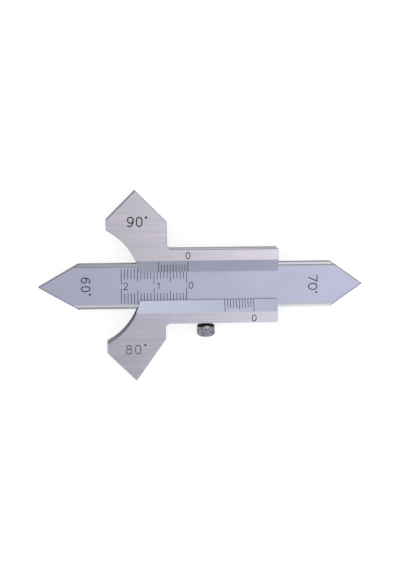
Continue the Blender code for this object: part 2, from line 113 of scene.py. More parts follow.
# The next colour is on worn knurl crests, and is also a painted highlight on top of the screw's head
KNURL_HIGH = (0.90, 0.89, 1.0)
PAINT = (0.016, 0.017, 0.026)
PLATE_STEEL = (0.50, 0.50, 0.53)
GIB_BRONZE = (0.62, 0.42, 0.20)
SCREW_STEEL = (0.42, 0.42, 0.45)
PIN_STEEL = (0.62, 0.62, 0.65)
FLOOR_GREY = (0.30, 0.30, 0.30)

# Textures, as noise cells a millimetre along X, Y and Z, or out from and along a turned axis
BRUSHED_FINE = (0.16, 9.0, 9.0)
BRUSHED_COARSE = (0.05, 2.0, 2.0)
BRUSHED_CLOUDS = (0.20, 0.30, 0.3)
SATIN_PORES = (5.0, 7.0, 7.0)
SATIN_CLOUDS = (0.07, 0.18, 0.2)
GROUND_FINE = (0.25, 9.0, 9.0)
GROUND_COARSE = (0.10, 2.6, 2.6)
WALL_LINES = (0.5, 0.5, 9.0)
PAINT_GRAIN = (9.0, 9.0, 9.0)
PLATE_LINES = (0.3, 14.0, 14.0)
GIB_LINES = (0.4, 9.0, 9.0)
ROLLED_CLOUDS = (0.3, 0.3, 0.3)
TURNED_LINES = (14.0, 14.0, 14.0)
TURNED_PORES = (6.0, 6.0, 6.0)
KNURL_WEAR = (1.7, 1.3, 1.3)

# Noise itself: its roughness, and the middle and width of the values that are spread over 0 to 1,
# or that show as scratches or as worn knurl
NOISE_ROUGHNESS = 0.55
NOISE_SPREAD = (0.5, 0.36)
SCRATCH_SPREAD = (0.93, 0.1)
WEAR_SPREAD = (0.48, 0.5)

# Roughness. A pair runs from a texture's low values to its high ones
BRUSHED_ROUGH = (0.22, 0.31)
SATIN_ROUGH = (0.40, 0.46)
GROUND_ROUGH = (0.12, 0.20)
BEVEL_ROUGH = 0.40
BROKEN_ROUGH = 0.24
JAW_WALL_ROUGH = 0.62
BAR_WALL_ROUGH = 0.55
PAINTED_LINE_ROUGH = 0.55
PAINT_ROUGH = (0.45, 0.65)
PLATE_ROUGH = (0.28, 0.40)
GIB_ROUGH = (0.30, 0.42)
SCREW_ROUGH = (0.25, 0.37)
PIN_ROUGH = (0.17, 0.29)
KNURL_ROUGH = (0.35, 0.22)
HEAD_ROUGH = 0.25

# Relief of the textures
JAW_RELIEF = 0.0016
BAR_RELIEF = 0.0014
METAL_RELIEF = 0.0015
PAINT_RELIEF = 0.003

# Borders between finishes by a face's direction, as the middle and width of a soft border in how
# far its normal points up, right, back, aside or away from the bar. BROKEN_UP has two middles
LEVEL_UP = (0.60, 0.05)
BROKEN_UP = (0.50, 0.86, 0.04)
BEVEL_UP = (0.87, 0.02)
SCALE_FACE_UP = (0.97, 0.02)
# The next one picks the upward faces of the painted highlight on the lock screw's head
HIGHLIGHT_UP = (0.5, 0.3)
CUT_OUT_UP = (0.3, 0.02)
CUT_OUT_RIGHT = (-0.15, 0.1)
CUT_OUT_AWAY = (-0.06, 0.06)
# The next four pick walls for painted light: a painted highlight on slopes that face right and on walls
# that face back, painted shade on walls that face left
LIT_SLOPE_RIGHT = (0.5, 0.2)
LIT_SLOPE_ASIDE = (0.5, 0.2)
LIT_BACK_WALL = (0.9, 0.1)
SHADED_LEFT_WALL = (-0.5, 0.3)

# Borders between finishes by place. A pair of heights or sides is where a change starts and ends
# The painted highlight on walls that face back grows between these two heights
LIT_BACK_WALL_HEIGHTS = (3.0, 5.8)
# The painted shade in the round cut-outs is darkest up to the first side and lightest from the second
CUT_OUT_SHADE_SIDES = (9.0, 18.0)
LIP_MARGIN = 0.02
SCALE_FACE_ABOVE = 0.01
SCALE_FACE_SOFT = 0.01
SCALE_FACE_BELOW = 0.3
# The band of painted shade along the bar's tip edges, and its soft border
TIP_EDGE_BAND = 0.25
TIP_EDGE_SOFT = 0.06

# Painted lines of the scales: their depths under their face with a soft border, and the margins
# round them
PAINTED_DEPTHS = (0.018, 0.12, 0.012)
LINE_MARGIN = 0.2
SCALE_SIDE_MARGIN = 0.05
VERNIER_LIP_MARGIN = 0.006
VERNIER_BEVEL_MARGIN = 0.1
VERNIER_SOFT = 0.004

# Lock screw: the depth of the knurl's crests, where the painted shade behind the knurl starts, their
# soft borders, and the reach and soft border of a painted highlight on top, across and along the screw
CREST_DEPTH = 0.14
CREST_SOFT = 0.05
KNURL_SOFT = 0.1
CHAMFER_SHADE_START = 0.12
CHAMFER_SHADE_SOFT = 0.2
HIGHLIGHT_ACROSS = (0.8, 0.8)
HIGHLIGHT_ALONG = (0.40, 0.3)

# Engraving: the second layer is cut slightly deeper, so that no two floors lie in one plane
STROKE_LAYERS = 2
LAYER_STEP = 0.004
MITRE_LIMIT = 0.35
ROUND_STEPS = 28
DOT_STEPS = 24
END_STEPS = 6
DOWNWARDS = {"reads": (0, -1), "tops": (1, 0)}

# Meshes: how near points are joined, and the angle in degrees up to which edges are smooth
WELD_DISTANCE = 0.0002
SMOOTH_ANGLE = 18

# The studio as a mirror sees it, as shares of white by the direction in which a mirror looks:
# across to the right, back along +Y, and up. The front is dim and turns into a bright back along a
# slant. The back falls off to the right and gains to the left, apart from one strip. A gap between
# front and back is darker on the left. The front has a lighter apron away from overhead. Low
# directions are darker, more so on the left, and darkest at the horizon
SKY_FRONT = 0.37
SKY_BACK = 0.93
SLANT_ACROSS = 1.6
SLANT_BACK = 2.0
SLANT_TURN = (-0.50, -0.12)
BACK_FALL = 7.0
BACK_LEAST = 0.3
STRIP = (0.46, 0.60, 0.03)
GAP_LOSS = 0.48
GAP = (-0.07, 0.2, 0.1)
GAP_END = (0.0, 0.1)
APRON_GAIN = 0.17
APRON_END = (-0.65, -0.35)
HORIZON_LIGHT = 0.18
HORIZON = (0.02, 0.18)
LOW_LEFT_LIGHT = 0.45
LOW_RIGHT_LIGHT = 0.9
LOW_SIDES = (-0.05, 0.25)
LOW_END = (0.2, 0.8)

# The rest of the studio, in metres. A panel has its direction, its size and its radiance, and a
# square metre of it takes so many watts for a radiance of 1. The floor glows for the camera and in
# metal, on top of the light that falls on it
PLAIN_LIGHT = 0.85
PANEL_DISTANCE = 1.3
PANELS = {
    "right_panel": ((0.41, -0.06, 0.89), (1.05, 0.6), 0.28),
    "back_panel": ((-0.30, 0.68, 0.67), (0.8, 0.6), 0.30),
}
PANEL_WATTS = 4.0
FLOOR_REACH = 4.0
FLOOR_DROP = 0.00001
FLOOR_GLOW = 0.79
FLOOR_ROUGH = 0.9

# Camera: the photograph's view, with its place in metres, its turn in degrees and a lens in
# millimetres
CAMERA_PLACE = (-0.025634, 0.049687, 0.29796)
CAMERA_TURN = (-9.5297, -4.8493, 0.0)
CAMERA_LENS = 61.45
CAMERA_SENSOR = 36.0
CAMERA_CLIP = (0.01, 20.0)

# Sockets of a Mix node: the inputs for its share and its two values, and its output
MIX_SOCKETS = {"FLOAT": ((0, 2, 3), 0), "RGBA": ((0, 6, 7), 2)}


def scaled(colour, factor):
    return tuple(part * factor for part in colour)


class Nodes:
    """A node tree that grows by short calls."""

    def __init__(self, tree):
        self.tree = tree

    def put(self, socket, value):
        """Links a socket to an output, or sets it to a number or colour."""
        if isinstance(value, bpy.types.NodeSocket):
            self.tree.links.new(value, socket)
        elif isinstance(value, tuple) and socket.type == "RGBA":
            socket.default_value = (*value, 1.0)
        else:
            socket.default_value = value

    def fill(self, node, values):
        """Puts values into a node's inputs, by their names or numbers."""
        for key, value in values.items():
            self.put(node.inputs[key], value)

    def node(self, kind, values=None, **settings):
        made = self.tree.nodes.new("ShaderNode" + kind)
        for key, value in settings.items():
            setattr(made, key, value)
        self.fill(made, values or {})
        return made

    def calculate(self, operation, *values):
        return self.node("Math", dict(enumerate(values)), operation=operation).outputs[0]

    def opposite(self, share):
        return self.calculate("SUBTRACT", 1.0, share)

    def either(self, first, second):
        return self.calculate("MAXIMUM", first, second)

    def both(self, *masks):
        product = masks[0]
        for mask in masks[1:]:
            product = self.calculate("MULTIPLY", product, mask)
        return product

    def ramp(self, value, start, end, low=0.0, high=1.0, kind="LINEAR"):
        """The low result up to the start, the high one from the end on, and a slope between."""
        values = {"Value": value, "From Min": start, "From Max": end, "To Min": low, "To Max": high}
        return self.node("MapRange", values, interpolation_type=kind).outputs[0]

    def rise(self, value, edge, soft=0.02):
        """0 below the edge and 1 above it."""
        return self.ramp(value, edge - soft / 2, edge + soft / 2)

    def drop(self, value, edge, soft=0.02):
        """1 below the edge and 0 above it."""
        return self.opposite(self.rise(value, edge, soft))

    def within(self, value, low, high, soft=0.02):
        return self.both(self.rise(value, low, soft), self.drop(value, high, soft))

    def near(self, value, middle, reach, soft):
        return self.within(value, middle - reach, middle + reach, soft)

    def mix(self, kind, *values):
        inputs, output = MIX_SOCKETS[kind]
        return self.node("Mix", dict(zip(inputs, values)), data_type=kind).outputs[output]

    def number(self, share, first, second):
        return self.mix("FLOAT", share, first, second)

    def colour(self, share, first, second):
        return self.mix("RGBA", share, first, second)

    def shades(self, texture, colour, spread):
        """A colour made darker and lighter by a share of itself."""
        light = tuple(min(1.0, part) for part in scaled(colour, 1 + spread))
        return self.colour(texture, scaled(colour, 1 - spread), light)

    def veil(self, colour, over, mask, share):
        """A colour with so much of another one over it where the mask is 1."""
        return self.colour(self.calculate("MULTIPLY", mask, share), colour, over)


class Finish(Nodes):
    """A material's nodes. Lengths in them are millimetres of the frame, at rest."""

    def __init__(self, name):
        self.material = bpy.data.materials.new(name)
        self.material.use_nodes = True
        super().__init__(self.material.node_tree)
        self.shader = self.tree.nodes["Principled BSDF"]
        place = self.node("TexCoord")
        spot = self.node("VectorMath", {0: place.outputs["Object"], "Scale": 1 / MM}, operation="SCALE")
        self.spot = spot.outputs[0]
        self.x, self.y, self.z = self.node("SeparateXYZ", {0: self.spot}).outputs
        self.right, self.back, self.up = self.node("SeparateXYZ", {0: place.outputs["Normal"]}).outputs
        self.upright = self.calculate("ABSOLUTE", self.up)

    def noise(self, cells, detail=3.0, turn=0.0, vector=None):
        """Noise spread over 0 to 1, with so many cells a millimetre along each axis."""
        values = {"Vector": vector or self.spot, "Angle": math.radians(turn)}
        turned = self.node("VectorRotate", values, rotation_type="Z_AXIS").outputs[0]
        stretched = self.node("VectorMath", {0: turned, 1: cells}, operation="MULTIPLY").outputs[0]
        values = {"Vector": stretched, "Scale": 1.0, "Detail": detail, "Roughness": NOISE_ROUGHNESS}
        return self.rise(self.node("TexNoise", values).outputs[0], *NOISE_SPREAD)

    def grain(self, fine, coarse, share=0.5):
        """Two noises in one, with a share of the coarse one."""
        first = self.calculate("MULTIPLY", self.noise(fine), 1 - share)
        return self.calculate("MULTIPLY_ADD", self.noise(coarse), share, first)

    def scratches(self, turn, length, width):
        """Sparse fine lines at an angle to X."""
        cells = (1 / length, 1 / width, 1 / width)
        return self.rise(self.noise(cells, detail=1.0, turn=turn), *SCRATCH_SPREAD)

    def bump(self, height, depth):
        return self.node("Bump", {"Height": height, "Strength": 1.0, "Distance": depth * MM}).outputs[0]

    def apply(self, colour, rough, normal, metallic=1.0, tint=WHITE):
        parts = {"Base Color": colour, "Roughness": rough, "Normal": normal}
        parts.update({"Metallic": metallic, "Specular Tint": tint})
        self.fill(self.shader, parts)
        return self.material


def give(node, *materials):
    """Puts materials in a CAD node's slots, the first one on all its faces."""
    slots = NODES[node].data.materials
    slots.clear()
    for material in materials:
        slots.append(material)


def paint_material():
    finish = Finish("filled_paint")
    grain = finish.noise(PAINT_GRAIN)
    colour = finish.shades(grain, PAINT, spread=0.35)
    rough = finish.number(grain, *PAINT_ROUGH)
    return finish.apply(colour, rough, finish.bump(grain, PAINT_RELIEF), metallic=0.0)


def brushed(finish, base):
    """Long fine lines along X, with soft clouds and a few scratches."""
    grain = finish.grain(BRUSHED_FINE, BRUSHED_COARSE, share=0.55)
    colour = finish.shades(grain, base, spread=0.13)
    colour = finish.veil(colour, CLOUD, finish.noise(BRUSHED_CLOUDS), share=0.16)
    marks = finish.scratches(turn=24.0, length=9.0, width=0.16)
    return grain, finish.veil(colour, BRIGHT, marks, share=0.12)


def satin(finish, base):
    """An even, fine and slightly blotchy face."""
    pores = finish.noise(SATIN_PORES)
    clouds = finish.noise(SATIN_CLOUDS, detail=2.0)
    colour = finish.shades(pores, base, spread=0.022)
    return pores, finish.veil(colour, scaled(base, 0.90), clouds, share=0.5)


def milled(finish):
    """Side walls: dull lines parallel to the faces."""
    return finish.shades(finish.noise(WALL_LINES), MILLED, spread=0.16)


def cut_out_mask(finish):
    """The wings' round cut-outs, whose walls face the 60 degree tip and the bar."""
    away = finish.calculate("MULTIPLY", finish.back, finish.calculate("SIGN", finish.y))
    return finish.both(
        finish.drop(finish.right, *CUT_OUT_RIGHT),
        finish.drop(away, *CUT_OUT_AWAY),
        finish.drop(finish.upright, *CUT_OUT_UP),
    )


def jaw_walls(finish, side):
    """The walls' colour and edge tint.

    Dull with painted shade where they face left; a painted highlight on the wings' right slopes and upper
    back-facing walls.
    """
    aside = finish.calculate("ABSOLUTE", finish.back)
    lit_slopes = finish.both(finish.rise(finish.right, *LIT_SLOPE_RIGHT), finish.rise(aside, *LIT_SLOPE_ASIDE))
    facing_back = finish.rise(finish.back, *LIT_BACK_WALL)
    lit_wall_tops = finish.both(facing_back, finish.ramp(finish.z, *LIT_BACK_WALL_HEIGHTS))
    # Painted highlight on lit slopes and wall tops, and painted shade on walls that face left, in colour
    # and edge tint
    light = finish.either(lit_slopes, lit_wall_tops)
    left = finish.drop(finish.right, *SHADED_LEFT_WALL)
    colour = finish.colour(light, finish.colour(left, milled(finish), WALL_PAINTED_SHADE), BRIGHT)
    tint = finish.colour(light, finish.colour(left, WALL_TINT, WALL_PAINTED_SHADE), WHITE)
    cut_out = cut_out_mask(finish)
    # Painted shade in the round cut-outs, darkest near the bar, in both colour and edge tint
    cut_out_shade = finish.colour(finish.ramp(side, *CUT_OUT_SHADE_SIDES), SHADED, CUT_OUT_WALL_SHADE)
    return finish.colour(cut_out, colour, cut_out_shade), finish.colour(cut_out, tint, CUT_OUT_WALL_SHADE)


def painted_mask(finish, depth, zero, length):
    """The floors and walls of lines that run leftwards from a zero, by their depth under the face."""
    return finish.both(
        finish.within(depth, *PAINTED_DEPTHS),
        finish.within(finish.x, zero - length - LINE_MARGIN, zero + LINE_MARGIN),
    )


def vernier_mask(finish, side, zero):
    """The painted lines of a vernier, on its sloping lip."""
    slope = (FRONT - LIP_TOP) / (BEVEL_SIDE - LIP_SIDE)
    run = finish.calculate("SUBTRACT", side, LIP_SIDE)
    height = finish.calculate("MULTIPLY_ADD", run, slope, LIP_TOP)
    below = finish.calculate("SUBTRACT", height, finish.z)
    depth = finish.calculate("MULTIPLY", below, math.cos(math.atan(slope)))
    first = LIP_SIDE + VERNIER_LIP_MARGIN
    last = BEVEL_SIDE - VERNIER_BEVEL_MARGIN
    lip = finish.within(side, first, last, VERNIER_SOFT)
    return finish.both(painted_mask(finish, depth, zero, VERNIER_LENGTH), lip)


def jaw_material(name, zero, base):
    """Brushed faces, satin bevels, milled walls with painted light and shade, bright broken edges and
    painted vernier lines.
    """
    finish = Finish(name)
    side = finish.calculate("ABSOLUTE", finish.y)
    grain, face = brushed(finish, base)
    pores, sloped = satin(finish, BEVEL_SATIN)
    walls, wall_tint = jaw_walls(finish, side)
    level = finish.rise(finish.upright, *LEVEL_UP)
    broken = finish.within(finish.upright, *BROKEN_UP)
    bevel = finish.both(
        finish.drop(side, BEVEL_SIDE),
        finish.rise(finish.z, LIP_TOP - LIP_MARGIN),
        finish.rise(finish.upright, *BEVEL_UP),
    )
    painted = vernier_mask(finish, side, zero)

    colour = finish.colour(level, walls, face)
    colour = finish.colour(broken, colour, GROUND)
    colour = finish.colour(bevel, colour, sloped)
    colour = finish.colour(painted, colour, PAINT)
    rough = finish.number(level, JAW_WALL_ROUGH, finish.number(grain, *BRUSHED_ROUGH))
    rough = finish.number(broken, rough, BROKEN_ROUGH)
    rough = finish.number(bevel, rough, BEVEL_ROUGH)
    rough = finish.number(painted, rough, PAINTED_LINE_ROUGH)
    relief = finish.bump(finish.number(bevel, grain, pores), JAW_RELIEF)
    tint = finish.colour(level, wall_tint, WHITE)
    return finish.apply(colour, rough, relief, finish.opposite(painted), tint)


def shaded_tip_edges(finish, side):
    """A narrow band of painted shade along the bar's slanting edges."""
    bands = []
    for tip, sign, angle in zip((BAR_LOW.x, BAR_HIGH.x), (1, -1), TIP_ANGLES):
        half = math.radians(angle / 2)
        slope = sign * math.sin(half)
        along = finish.calculate("MULTIPLY_ADD", finish.x, slope, -slope * tip)
        inside = finish.calculate("MULTIPLY_ADD", side, -math.cos(half), along)
        bands.append(finish.drop(inside, TIP_EDGE_BAND, TIP_EDGE_SOFT))
    return finish.either(*bands)


def bar_material():
    """Satin scale face between ground lands, ground sides, painted scale lines and painted shade along the
    tips' edges.
    """
    finish = Finish("bar_steel")
    side = finish.calculate("ABSOLUTE", finish.y)
    pores, flat = satin(finish, BAR_SATIN)
    marks = finish.scratches(turn=-17.0, length=7.0, width=0.14)
    flat = finish.veil(flat, BRIGHT, marks, share=0.08)
    grain = finish.grain(GROUND_FINE, GROUND_COARSE)
    ground = finish.shades(grain, GROUND, spread=0.10)
    level = finish.rise(finish.upright, *LEVEL_UP)
    face = finish.both(
        finish.drop(finish.z, SCALE_FACE + SCALE_FACE_ABOVE, SCALE_FACE_SOFT),
        finish.rise(finish.z, SCALE_FACE - SCALE_FACE_BELOW),
        finish.rise(finish.upright, *SCALE_FACE_UP),
    )
    # Painted shade along the slanting tip edges, on level faces
    edge = finish.both(shaded_tip_edges(finish, side), level)
    depth = finish.calculate("SUBTRACT", SCALE_FACE, finish.z)
    painted = finish.both(
        painted_mask(finish, depth, SCALE_ZERO, SCALE_LENGTH),
        finish.drop(side, SCALE_SIDE + SCALE_SIDE_MARGIN),
    )

    colour = finish.colour(level, milled(finish), ground)
    colour = finish.colour(face, colour, flat)
    colour = finish.colour(edge, colour, EDGE_SHADE)
    colour = finish.colour(painted, colour, PAINT)
    rough = finish.number(level, BAR_WALL_ROUGH, finish.number(grain, *GROUND_ROUGH))
    rough = finish.number(face, rough, finish.number(pores, *SATIN_ROUGH))
    rough = finish.number(painted, rough, PAINTED_LINE_ROUGH)
    relief = finish.bump(finish.number(face, grain, pores), BAR_RELIEF)
    tint = finish.colour(level, WALL_TINT, WHITE)
    return finish.apply(colour, rough, relief, finish.opposite(painted), tint)


def bare_metal(finish, lines, clouds, colour, rough, cloud_tone):
    """Fine lines under clouds of a darker tone."""
    tone = finish.shades(lines, colour, spread=0.10)
    tone = finish.veil(tone, scaled(colour, cloud_tone), clouds, share=0.3)
    return finish.apply(tone, finish.number(lines, *rough), finish.bump(lines, METAL_RELIEF))


def rolled_material(name, colour, rough, cells):
    finish = Finish(name)
    lines = finish.noise(cells)
    clouds = finish.noise(ROLLED_CLOUDS, detail=2.0)
    return bare_metal(finish, lines, clouds, colour, rough, cloud_tone=0.8)


def distance(finish, first, second):
    """The distance from an axis. Each pair is a coordinate and the axis' own place along it."""
    squares = []
    for place, middle in (first, second):
        offset = finish.calculate("SUBTRACT", place, middle)
        squares.append(finish.calculate("MULTIPLY", offset, offset))
    return finish.calculate("SQRT", finish.calculate("ADD", *squares))


def turned_lines(finish, radius, along):
    """Lines that run round a piece's own axis."""
    spot = finish.node("CombineXYZ", {0: radius, 1: along}).outputs[0]
    return finish.noise(TURNED_LINES, detail=2.0, vector=spot)


def turned_material(name, colour, rough, centre):
    """Steel turned round an axis along Z."""
    finish = Finish(name)
    radius = distance(finish, (finish.x, centre.x), (finish.y, centre.y))
    lines = turned_lines(finish, radius, finish.z)
    return bare_metal(finish, lines, finish.noise(TURNED_PORES), colour, rough, cloud_tone=0.75)


def knurl_material():
    """Steel turned round an axis along Y; the knurl's worn points are bright, its grooves carry painted
    shade.
    """
    centre = (SCREW_LOW + SCREW_HIGH) / 2
    finish = Finish("knurled_steel")
    radius = distance(finish, (finish.x, centre.x), (finish.z, centre.z))
    lines = turned_lines(finish, radius, finish.y)
    knurled = finish.within(finish.y, KNURL_OUTER, KNURL_INNER, KNURL_SOFT)
    crest = finish.rise(radius, HEAD_RADIUS - CREST_DEPTH, CREST_SOFT)
    wear = finish.rise(finish.noise(KNURL_WEAR, detail=1.0), *WEAR_SPREAD)
    # Painted shade for the knurl's grooves and for the chamfer behind it
    knurl_shade = finish.shades(lines, KNURL_SHADE, spread=0.12)
    knurl = finish.colour(crest, knurl_shade, finish.colour(wear, KNURL_DULL, KNURL_HIGH))
    # Painted shade on the chamfer behind the knurl, towards the rail
    behind = finish.rise(finish.y, KNURL_INNER + CHAMFER_SHADE_START, CHAMFER_SHADE_SOFT)
    turned = finish.colour(behind, finish.shades(lines, TURNED, spread=0.14), knurl_shade)
    # A painted highlight on the top of the head at the knurl's inner end
    top_highlight = finish.both(
        finish.near(finish.x, centre.x, *HIGHLIGHT_ACROSS),
        finish.near(finish.y, KNURL_INNER, *HIGHLIGHT_ALONG),
        finish.rise(finish.up, *HIGHLIGHT_UP),
    )
    tone = finish.colour(top_highlight, finish.colour(knurled, turned, knurl), KNURL_HIGH)
    rough = finish.number(knurled, HEAD_ROUGH, finish.number(crest, *KNURL_ROUGH))
    return finish.apply(tone, rough, finish.bump(lines, METAL_RELIEF))


def middle_of(node):
    low, high = in_mm(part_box(node))
    return (low + high) / 2


def dress_cad():
    """Gives every CAD node its materials, and returns the figures' paint."""
    paint = paint_material()
    give("upper_jaw", jaw_material("upper_jaw_steel", UPPER_ZERO, BRUSHED_UPPER), paint)
    give("lower_jaw", jaw_material("lower_jaw_steel", LOWER_ZERO, BRUSHED_LOWER), paint)
    give("scale_bar", bar_material(), paint)
    give("back_plate", rolled_material("plate_steel", PLATE_STEEL, PLATE_ROUGH, PLATE_LINES))
    give("gib", rolled_material("gib_bronze", GIB_BRONZE, GIB_ROUGH, GIB_LINES))
    give("lock_screw", knurl_material())
    for number in range(1, FASTENERS + 1):
        screw = f"plate_screw_{number}"
        give(screw, turned_material(f"{screw}_steel", SCREW_STEEL, SCREW_ROUGH, middle_of(screw)))
        pin = f"dowel_pin_{number}"
        give(pin, turned_material(f"{pin}_steel", PIN_STEEL, PIN_ROUGH, middle_of(pin)))
    return paint


def ellipse(centre, across, up, start=0.0, end=360.0, steps=ROUND_STEPS, power=2.0):
    """Points round an ellipse, fuller than one where power is over 2, angles in degrees."""
    points = []
    for index in range(steps + 1):
        angle = math.radians(start + (end - start) * index / steps)
        cosine = math.cos(angle)
        sine = math.sin(angle)
        x = math.copysign(abs(cosine) ** (2 / power), cosine)
        y = math.copysign(abs(sine) ** (2 / power), sine)
        points.append(Vector((centre[0] + across * x, centre[1] + up * y)))
    return points


def closed(points):
    """A stroke that closes on itself, without the last point, which repeats the first."""
    return points[:-1], True


def polyline(*places):
    """One open stroke, alone in its layer."""
    return [[([Vector(place) for place in places], False)]]


def zero(width=0.60):
    return width, [[closed(ellipse((width / 2, 0.5), width / 2, 0.5, power=2.3))]]


def one(width=0.20, flag=0.84):
    return width, polyline((0.0, flag), (width, 1.0), (width, 0.0))


def two(width=0.60):
    hook = ellipse((0.29, 0.70), 0.27, 0.30, start=170, end=-32, steps=14)
    return width, polyline(*hook, (0.0, 0.0), (width, 0.0))


def six(width=0.60, bowl=0.64):
    ring = closed(ellipse((width / 2, bowl / 2), width / 2, bowl / 2))
    tail = ellipse((0.42, 0.40), 0.42, 0.60, start=180, end=62, steps=12)
    return width, [[ring], [(tail, False)]]


def seven(width=0.56, foot=0.19):
    return width, polyline((0.0, 1.0), (width, 1.0), (foot, 0.0))


def eight(width=0.64, height=0.56, top_width=0.50):
    """A lower ring of that height, and a narrower one that takes up the rest."""
    rest = 1 - height
    lower = closed(ellipse((width / 2, height / 2), width / 2, height / 2))
    upper = closed(ellipse((width / 2, height + rest / 2), top_width / 2, rest / 2))
    return width, [[lower], [upper]]


def nine():
    """A six, turned by half a turn."""
    width, layers = six()
    corner = Vector((width, 1.0))
    turned = [[([corner - point for point in points], loop) for points, loop in layer] for layer in layers]
    return width, turned


# Each figure is one unit high. It has its width and its layers of strokes, and the strokes of one
# layer don't overlap
FIGURES = {"0": zero(), "1": one(), "2": two(), "6": six(), "7": seven(), "8": eight(), "9": nine()}


def offset_sides(points, loop, half):
    """The stroke's two edges, with mitred corners."""
    left = []
    right = []
    count = len(points)
    for index, point in enumerate(points):
        before = points[index - 1] if loop or index else point
        after = points[(index + 1) % count] if loop or index < count - 1 else point
        arrive = (point - before).normalized() if point != before else (after - point).normalized()
        leave = (after - point).normalized() if after != point else arrive
        across = Vector((-(arrive + leave).y, (arrive + leave).x)).normalized()
        normal = Vector((-leave.y, leave.x))
        reach = half / max(MITRE_LIMIT, across.dot(normal))
        left.append(point + across * reach)
        right.append(point - across * reach)
    return left, right


def round_end(middle, start):
    """Points of a half circle round a stroke's end, from one edge over to the other."""
    arm = start - middle
    turns = [-math.pi * index / END_STEPS for index in range(1, END_STEPS)]
    return [middle + Matrix.Rotation(turn, 2) @ arm for turn in turns]


def ring_of(solid, points, height):
    return [solid.verts.new(Vector((point.x, point.y, height)) * MM) for point in points]


def add_wall(solid, low, high):
    count = len(low)
    for index in range(count):
        after = (index + 1) % count
        solid.faces.new((low[index], low[after], high[after], high[index]))


def add_prism(solid, outline, bottom, top):
    low = ring_of(solid, outline, bottom)
    high = ring_of(solid, outline, top)
    add_wall(solid, low, high)
    solid.faces.new(low)
    solid.faces.new(high)


def add_stroke(solid, points, loop, half, bottom, top):
    left, right = offset_sides(points, loop, half)
    if not loop:
        ends = round_end(points[-1], left[-1]), round_end(points[0], right[0])
        add_prism(solid, left + ends[0] + right[::-1] + ends[1], bottom, top)
        return
    rings = [[ring_of(solid, edge, height) for height in (bottom, top)] for edge in (left, right)]
    for low, high in rings:
        add_wall(solid, low, high)
    for level in (0, 1):
        add_wall(solid, rings[0][level], rings[1][level])


class Inscription:
    """Figures on one level face, which read along one direction with their tops up another."""

    def __init__(self, text, place, height, width, stroke, reads=(1, 0), tops=(0, 1), stretch=1.0):
        self.text = text
        self.place = Vector(place)
        self.stroke = stroke
        self.reads = Vector(reads)
        self.tops = Vector(tops)
        self.high = height - stroke
        self.wide = self.high * stretch
        taken = sum(FIGURES[figure][0] for figure in text) * self.wide
        spare = width - stroke - taken
        self.gap = spare / (len(text) - 1) if len(text) > 1 else 0.0

    def spot(self, along, up):
        inset = self.stroke / 2
        return self.place + self.reads * (along + inset) + self.tops * (up + inset)

    def strokes(self, layer):
        """Every stroke of one layer, as (points, loop, half width)."""
        along = 0.0
        found = []
        for figure in self.text:
            width, layers = FIGURES[figure]
            for points, loop in layers[layer] if layer < len(layers) else []:
                spots = [self.spot(along + point.x * self.wide, point.y * self.high) for point in points]
                found.append((spots, loop, self.stroke / 2))
            along += width * self.wide + self.gap
        return found


class Dot:
    """A round dot, cut like the figures."""

    def __init__(self, place, diameter):
        self.place = Vector(place)
        self.radius = diameter / 2

    def add(self, solid, bottom, top):
        circle = ellipse((0, 0), self.radius, self.radius, steps=DOT_STEPS)[:-1]
        add_prism(solid, [self.place + point for point in circle], bottom, top)


def mesh_of(name, solid, material):
    mesh = bpy.data.meshes.new(name)
    solid.to_mesh(mesh)
    solid.free()
    mesh.materials.append(material)
    return mesh


def new_object(name, data):
    made = bpy.data.objects.new(name, data)
    bpy.context.scene.collection.objects.link(made)
    return made


def engraving_mesh(name, layer, inscriptions, dots, level, paint):
    """One layer of strokes as closed solids through a level, with the dots in the first layer."""
    solid = bmesh.new()
    bottom = level - LINE_DEPTH - layer * LAYER_STEP
    top = level + LINE_DEPTH
    for inscription in inscriptions:
        for points, loop, half in inscription.strokes(layer):
            add_stroke(solid, points, loop, half, bottom, top)
    if layer == 0:
        for dot in dots:
            dot.add(solid, bottom, top)
    bmesh.ops.recalc_face_normals(solid, faces=solid.faces)
    return mesh_of(name, solid, paint)


def engrave(node, body, inscriptions, dots, level, paint):
    """Cuts figures and dots into a CAD node at a level, with one Boolean for each layer of strokes."""
    for layer in range(STROKE_LAYERS):
        name = f"{node}_engraving_{layer + 1}"
        cutter = new_object(name, engraving_mesh(name, layer, inscriptions, dots, level, paint))
        cutter.hide_render = True
        cutter.display_type = "WIRE"
        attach(cutter, body)
        boolean = NODES[node].modifiers.new(name, "BOOLEAN")
        boolean.operation = "DIFFERENCE"
        boolean.solver = "EXACT"
        boolean.material_mode = "TRANSFER"
        boolean.object = cutter


def on_jaw(x, y):
    """A spot on the jaws, measured from the corner where the wings' 45 degree edges would meet."""
    return (CORNER_X + x, y)


def on_bar(x, y):
    """A spot on the bar, measured from its 60 degree tip."""
    return (BAR_LOW.x + x, y)


